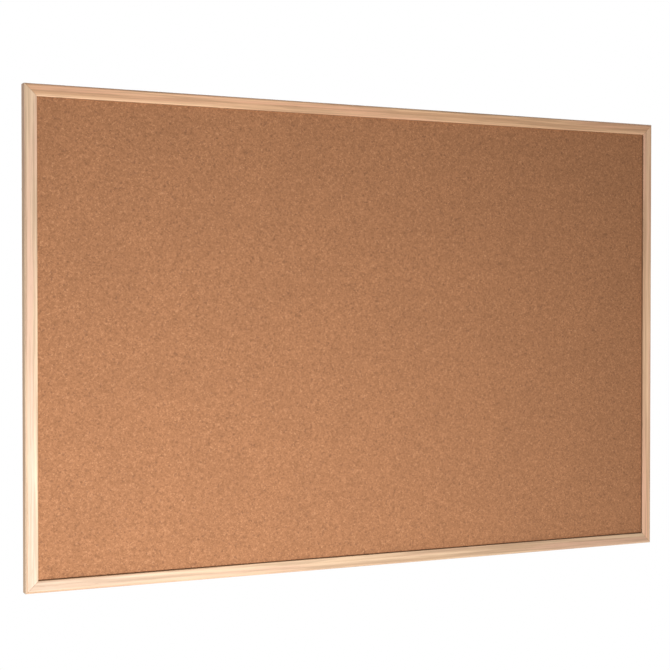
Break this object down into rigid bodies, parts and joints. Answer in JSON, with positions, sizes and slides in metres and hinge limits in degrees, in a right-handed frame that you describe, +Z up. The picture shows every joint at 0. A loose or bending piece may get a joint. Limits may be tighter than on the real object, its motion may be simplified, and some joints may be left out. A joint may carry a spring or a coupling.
{
  "type": "cork bulletin board",
  "caption": "Wide cork pin board in a mitred light-wood frame, with swinging D-ring hangers and rubber wall bumpers on the back.",
  "frame": {"origin": "middle of the board's width and height, in the plane of the wall that the four bumpers touch", "axes": "+X along the width, to the right seen from the front; +Y into the wall, out of the board's back; +Z up; the cork faces -Y"},
  "size_m": [0.9, 0.021, 0.6],
  "materials": {
    "pine_frame": "light pine with a clear satin coat",
    "cork": "fine-grained cork, matt",
    "fibreboard": "raw soft fibreboard",
    "backing_paper": "brown kraft paper",
    "nail_steel": "plain",
    "point_steel": "zinc plated sheet",
    "strap_steel": "zinc plated sheet",
    "ring_steel": "nickel plated wire",
    "screw_steel": "zinc plated",
    "bumper_rubber": "matt black"
  },
  "bodies": {
    "board": {"top_rail": "pine_frame", "bottom_rail": "pine_frame", "left_stile": "pine_frame", "right_stile": "pine_frame", "cork_sheet": "cork", "fibreboard_core": "fibreboard", "backing_paper": "backing_paper", "corner_nails_top_left": "nail_steel", "corner_nails_top_right": "nail_steel", "corner_nails_bottom_left": "nail_steel", "corner_nails_bottom_right": "nail_steel", "retaining_points_top": "point_steel", "retaining_points_bottom": "point_steel", "retaining_points_left": "point_steel", "retaining_points_right": "point_steel", "hanger_strap_left": "strap_steel", "hanger_screw_left": "screw_steel", "hanger_strap_right": "strap_steel", "hanger_screw_right": "screw_steel", "wall_bumper_top_left": "bumper_rubber", "wall_bumper_top_right": "bumper_rubber", "wall_bumper_bottom_left": "bumper_rubber", "wall_bumper_bottom_right": "bumper_rubber"},
    "ring_left": {"hanger_ring_left": "ring_steel"},
    "ring_right": {"hanger_ring_right": "ring_steel"}
  },
  "joints": [
    {"name": "ring_swing_left", "type": "hinge", "parent": "board", "child": "ring_left", "pos_m": [-0.4436, -0.00295, 0.18], "axis": [1, 0, 0], "range_deg": [0, 180]},
    {"name": "ring_swing_right", "type": "hinge", "parent": "board", "child": "ring_right", "pos_m": [0.4436, -0.00295, 0.18], "axis": [1, 0, 0], "range_deg": [0, 180]}
  ]
}
